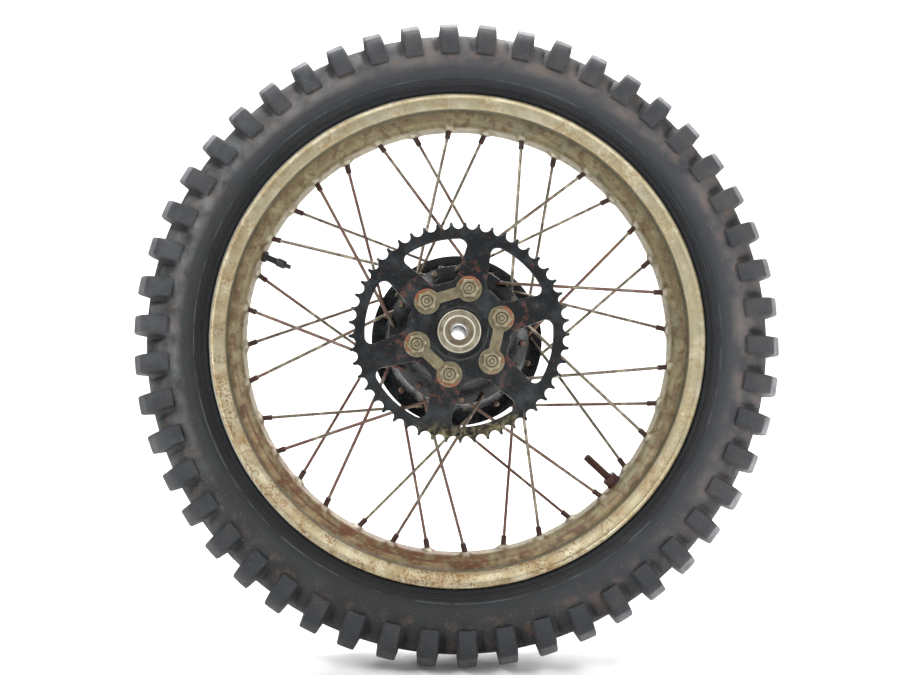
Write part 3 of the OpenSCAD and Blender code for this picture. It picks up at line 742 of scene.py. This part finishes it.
# Hub: one casting from the sprocket's seat to the drum

hub = {"edge": 66.5, "farEdge": 90, "drumWall": 75.5}


def flangeFace(side, radius, face):
    end = spoke["near"] if side > 0 else spoke["far"]
    slope = math.radians(end["slope"])
    rise = (end["hole"] - radius) * math.tan(slope) + face * spoke["flangeHalf"] / math.cos(slope)
    return radius, end["flange"] + side * rise


def hubOutline():
    wall = hub["drumWall"]
    return [(27, 79), (27, 71.5), (48, 71.5), (48, 61.5), (38, 59), (36, 53), (42, 52),
            flangeFace(1, 46, 1), flangeFace(1, hub["edge"], 1), flangeFace(1, hub["edge"], -1),
            flangeFace(1, 55, -1), (55.5, 38), (wall, -24), flangeFace(-1, wall, -1),
            flangeFace(-1, hub["farEdge"], -1), flangeFace(-1, hub["farEdge"], 1), flangeFace(-1, wall, 1),
            (wall, -58), (70.6, -58), (70.6, -16), (29, -16), (29, -22), (21.05, -22), (21.05, -8),
            (17.8, -5), (29, -5), (29, -11), (66, -11), (49, 40), (30, 48), (30, 54), (17.8, 56),
            (21.05, 60), (21.05, 79)]


standIn(turned("hubCasting", hubOutline(), hubPaint, 0.9, 144), "wheel", "hub_black", "hub_shell")
standIn(turned("drumLiner", [(65, -22), (65, -56), (70.5, -56), (70.5, -22)], drumIron, 0.4, 144),
        "wheel", "drum_iron", "brake_liner")
seal = [(13.4, 73.6), (13.4, 78.2), (14.6, 78.6), (15.6, 77.4), (18, 77.4), (19, 78.5), (20.95, 78.5),
        (20.95, 73.6)]
standIn(turned("bearingSeal", seal, butyl, 0.2), "wheel", "butyl_rubber", "bearing_seal")
print("hub made")


# Sprocket and its fixings

standIn(fromCad("chainSprocket", "sprocket", sprocketPaint, 0.5), "wheel", "sprocket_black", "sprocket")

bolt = {"circle": 40, "first": 17, "count": 6, "across": 16, "height": 6, "seat": 80, "sides": 36}
plate = {"edge": 0.35, "rustFrom": 44, "rustOver": 5}


def throughRows(bm, rows, sides):
    # extrudes a ring about the z axis through rows of (radius, height, how hexagonal), and returns its rings
    halfFlat = math.pi / 6
    ring = bmesh.ops.create_circle(bm, segments=sides, radius=1)["verts"]
    rings = []
    for radius, height, hexShare in rows:
        if rings:
            grown = bmesh.ops.extrude_edge_only(bm, edges=loopEdges(ring))["geom"]
            ring = [g for g in grown if isinstance(g, bmesh.types.BMVert)]
        for vert in ring:
            turn = math.atan2(vert.co.y, vert.co.x)
            wedge = (turn + halfFlat) % (2 * halfFlat) - halfFlat
            reach = radius * (1 + (math.cos(halfFlat) / math.cos(wedge) - 1) * hexShare)
            vert.co = Vector((reach * math.cos(turn), reach * math.sin(turn), height)) * mm
        rings.append(ring)
    return rings


def boltHead(at, twist):
    bm = bmesh.new()
    grimeAndShade = bm.verts.layers.float.new("grimeAndShade")
    corner = bolt["across"] / 2 / math.cos(math.pi / 6)
    crown = bolt["height"]
    shape = ((4.0, -17, 0, 0), (4.8, -16.4, 0, 0), (4.8, 0.02, 0, 1),  # radius, height, how hexagonal, dirt and painted shade
             (corner, 0.02, 1, 1), (corner, 1.2, 1, 0.6), (corner, crown - 1.1, 1, 0),
             (corner - 1.3, crown - 0.2, 0.35, 0), (corner - 1.9, crown, 0, 0), (6.0, crown, 0, 0),
             (5.6, crown - 0.25, 0, 0.8), (5.3, crown - 0.9, 0, 1), (4.7, crown - 0.9, 0, 0.8),
             (4.2, crown - 0.7, 0, 0), (2.9, crown - 0.7, 0, 0), (2.5, crown - 1.0, 0, 1),
             (2.1, crown - 1.0, 0, 1), (1.6, crown - 0.6, 0, 0), (0.6, crown - 0.5, 0, 0.2))
    rings = throughRows(bm, [row[:3] for row in shape], bolt["sides"])
    for ring, row in zip(rings, shape):
        for vert in ring:
            vert[grimeAndShade] = row[3]
    for ring in (rings[0], rings[-1]):
        bmesh.ops.contextual_create(bm, geom=ring)
    closed(bm, 1e-7)
    upright = Matrix.Rotation(math.radians(90), 3, "X") @ Matrix.Rotation(twist, 3, "Z")
    bmesh.ops.rotate(bm, verts=bm.verts, cent=(0, 0, 0), matrix=upright)
    bmesh.ops.translate(bm, verts=bm.verts, vec=polar(bolt["circle"], at, bolt["seat"]))
    return bm


def sprocketBolts():
    whole = bmesh.new()
    for count in range(bolt["count"]):
        bm = boltHead(bolt["first"] + count * 360 / bolt["count"], random.uniform(0, 1))
        spare = bpy.data.meshes.new("bolt")
        bm.to_mesh(spare)
        bm.free()
        whole.from_mesh(spare)
        bpy.data.meshes.remove(spare)
    closed(whole, 1e-7)
    return smoothByAngle(finished("sprocketBolts", whole, boltZinc), 25)


standIn(sprocketBolts(), "wheel", "dull_zinc", "sprocket_bolts")


def lockPlate(number):
    piece = fromCad(f"lockPlate{number}", f"lock_plate_{number}", plateZinc, plate["edge"])
    rusty = piece.data.attributes.new("bare", "FLOAT", "POINT")
    for vert in piece.data.vertices:
        flat = math.hypot(vert.co.x, vert.co.z) / mm
        rusty.data[vert.index].value = max(0, min(1, (flat - plate["rustFrom"]) / plate["rustOver"]))
    return piece


for number in (1, 2, 3):
    standIn(lockPlate(number), "wheel", "dull_zinc", f"lock_plate_{number}")

collar = [(7.5, 73), (10.4, 73), (10.4, 73.6), (13, 73.6), (13, 79.6), (19.8, 79.6), (19.8, 82.4), (19, 83),
          (15, 83), (14.4, 84), (13.6, 84), (9.2, 82.6), (8.1, 83.4), (7.5, 83)]
standIn(turned("axleCollar", collar, collarZinc, 0.25), "axle_set", "collar_steel", "axle_collar")
print("sprocket and fixings made")


# Valve and rim lock: turned about a radius of the wheel

def radialPart(name, outline, material, at, sides=32, hexRows=()):
    # outline is (radius, distance from the axle line); hexRows are the outline's rows that are hexagonal
    bm = bmesh.new()
    rows = [(radius, distance, int(row in hexRows)) for row, (radius, distance) in enumerate(outline)]
    throughRows(bm, rows + rows[:1], sides)  # the last ring lands on the first and is merged with it
    closed(bm, 1e-7)
    outward = polar(1, at).normalized()
    stood = Matrix((axle, outward.cross(axle), outward)).transposed()
    bmesh.ops.rotate(bm, verts=bm.verts, cent=(0, 0, 0), matrix=stood)
    return smoothByAngle(finished(name, bm, material), 35)


def threaded(radius, start, end, pitch, depth):
    # outline of a thread's ridges from start to end
    count = int(abs(end - start) / pitch)
    step = (end - start) / count
    return [(radius - (depth if i % 2 else 0), start + step * i / 2) for i in range(2 * count + 1)]


valve = {"stem": 3.4, "tip": 192, "pitch": 0.8, "threadDepth": 0.35, "capPast": 8.5}
rimLock = {"radius": 4, "below": 38.5, "pitch": 1.25, "threadDepth": 0.5}
threadFrom = 213
well = rim["well"]
stem = [(1.25, 236), (valve["stem"], 236), (valve["stem"], 223.8), (6, 223.8), (6, 222.3)] + \
    [(valve["stem"], 222.3)] + \
    threaded(valve["stem"], threadFrom, valve["tip"] + 0.4, valve["pitch"], valve["threadDepth"]) + \
    [(2.9, valve["tip"]), (2.4, valve["tip"]), (2.4, 206), (1.25, 206)]
standIn(radialPart("valveStem", stem, stemBlack, rim["valveAngle"]), "wheel", "valve_black", "valve_stem")
nut = [(3.5, well - 0.4), (5.5, well - 0.4), (5.6, well - 0.9), (5.6, well - 3.8), (5.0, well - 4.3),
       (3.5, well - 4.3)]
standIn(radialPart("valveNut", nut, stemBlack, rim["valveAngle"], 36, (1, 2, 3)), "wheel", "valve_black",
        "valve_nut")
capEnd = valve["tip"] - valve["capPast"]
cap = [(3.5, capEnd + 14.5), (4.2, capEnd + 14.5), (4.4, capEnd + 14), (4.4, capEnd + 7), (4.1, capEnd + 5.8),
       (3.0, capEnd + 5.1), (2.35, capEnd + 4.6), (2.3, capEnd + 0.5), (1.9, capEnd), (0.3, capEnd),
       (0.3, capEnd + 6.4), (3.5, capEnd + 6.6)]
standIn(radialPart("valveCap", cap, capPlastic, rim["valveAngle"], 28), "wheel", "valve_cap_black",
        "valve_cap")

lockEnd = well - rimLock["below"]
stud = [(0.4, 240.3), (rimLock["radius"], 240.3), (rimLock["radius"], 222)] + \
    threaded(rimLock["radius"], threadFrom, lockEnd + 1.6, rimLock["pitch"], rimLock["threadDepth"]) + \
    [(3.2, lockEnd + 0.5), (2.7, lockEnd), (0.4, lockEnd)]
standIn(radialPart("rimLockStud", stud, lockSteel, rim["lockAngle"]), "wheel", "rusty_nipple_steel",
        "rim_lock_stud")
lockNut = [(4.05, well - 1.9), (7.0, well - 1.9), (7.5, well - 2.6), (7.5, well - 8.2), (6.7, well - 8.9),
           (4.05, well - 8.9)]
standIn(radialPart("rimLockNut", lockNut, lockSteel, rim["lockAngle"], 36, (1, 2, 3, 4)), "wheel",
        "rusty_nipple_steel", "rim_lock_nut")
print("valve and rim lock made")


# CAD nodes that keep their shape

keptNodes = {"inner_tube": butyl, "rim_strip": butyl, "rim_lock_shoe": butyl, "rim_lock_washer": lockSteel,
             "distance_tube": tubeSteel, "left_outer_race": bearingSteel, "left_inner_race": bearingSteel,
             "left_balls": bearingSteel, "left_cage": cageBrass, "right_outer_race": bearingSteel,
             "right_inner_race": bearingSteel, "right_balls": bearingSteel, "right_cage": cageBrass,
             "valve_core": cageBrass, "valve_pin": cageBrass}
for node, material in keptNodes.items():
    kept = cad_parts[node]
    kept.data.materials.clear()
    kept.data.materials.append(material)


# Stage: pale floor running up into a curved backdrop, soft studio light

# lengths in metres
stage = {"front": -4.0, "depth": 3.2, "width": 9, "height": 5.2, "curve": 1.2, "curveSteps": 10}


def paperSweep():
    bm = bmesh.new()
    floorZ = cadBox[0][2]
    back, curve, half = stage["depth"], stage["curve"], stage["width"] / 2
    points = [(-half, stage["front"], floorZ), (-half, back - curve, floorZ)]
    steps = stage["curveSteps"]
    points += [(-half, back - curve + curve * math.sin(t), floorZ + curve * (1 - math.cos(t)))
               for t in (math.radians(90 * i / steps) for i in range(1, steps + 1))]
    points.append((-half, back, stage["height"]))
    verts = [bm.verts.new(p) for p in points]
    edges = [bm.edges.new(pair) for pair in zip(verts, verts[1:])]
    grown = bmesh.ops.extrude_edge_only(bm, edges=edges)
    bmesh.ops.translate(bm, vec=(stage["width"], 0, 0),
                        verts=[g for g in grown["geom"] if isinstance(g, bmesh.types.BMVert)])
    bmesh.ops.recalc_face_normals(bm, faces=bm.faces)
    finished("paperSweep", bm, studioPaper())


paperSweep()


def softLight(name, place, size, power, aim=(0, 0, 0)):
    data = bpy.data.lights.new(name, "AREA")
    data.shape = "DISK"
    data.size = size
    data.energy = power
    lamp = bpy.data.objects.new(name, data)
    bpy.context.scene.collection.objects.link(lamp)
    lamp.location = place
    lamp.rotation_euler = (Vector(aim) - lamp.location).to_track_quat("-Z", "Y").to_euler()


softLight("keyLight", (-1.5, -1.7, 1.9), 1.1, 62)
softLight("fillLight", (1.9, -1.5, 0.6), 1.4, 34)
softLight("topLight", (0.1, 0.4, 2.3), 1.4, 34)
softLight("backLight", (0.6, 1.6, 1.2), 1.6, 26)
softLight("paperLight", (0, 1.0, 3.4), 2.5, 150, aim=(0, 3.1, 0.6))

world = bpy.data.worlds.new("studio")
bpy.context.scene.world = world
world.use_nodes = True
world.node_tree.nodes["Background"].inputs["Color"].default_value = linear("#fbfbfc")
world.node_tree.nodes["Background"].inputs["Strength"].default_value = 0.5

view = {"lens": 31.3, "place": (-0.01606, -0.78758, -0.05615), "tilt": 4.09, "turn": -0.62}
cameraData = bpy.data.cameras.new("camera")
cameraData.sensor_width = 36
cameraData.lens = view["lens"]
camera = bpy.data.objects.new("camera", cameraData)
bpy.context.scene.collection.objects.link(camera)
camera.location = view["place"]
camera.rotation_euler = (math.radians(90 + view["tilt"]), 0, math.radians(view["turn"]))
bpy.context.scene.camera = camera
bpy.context.scene.view_settings.view_transform = "Standard"
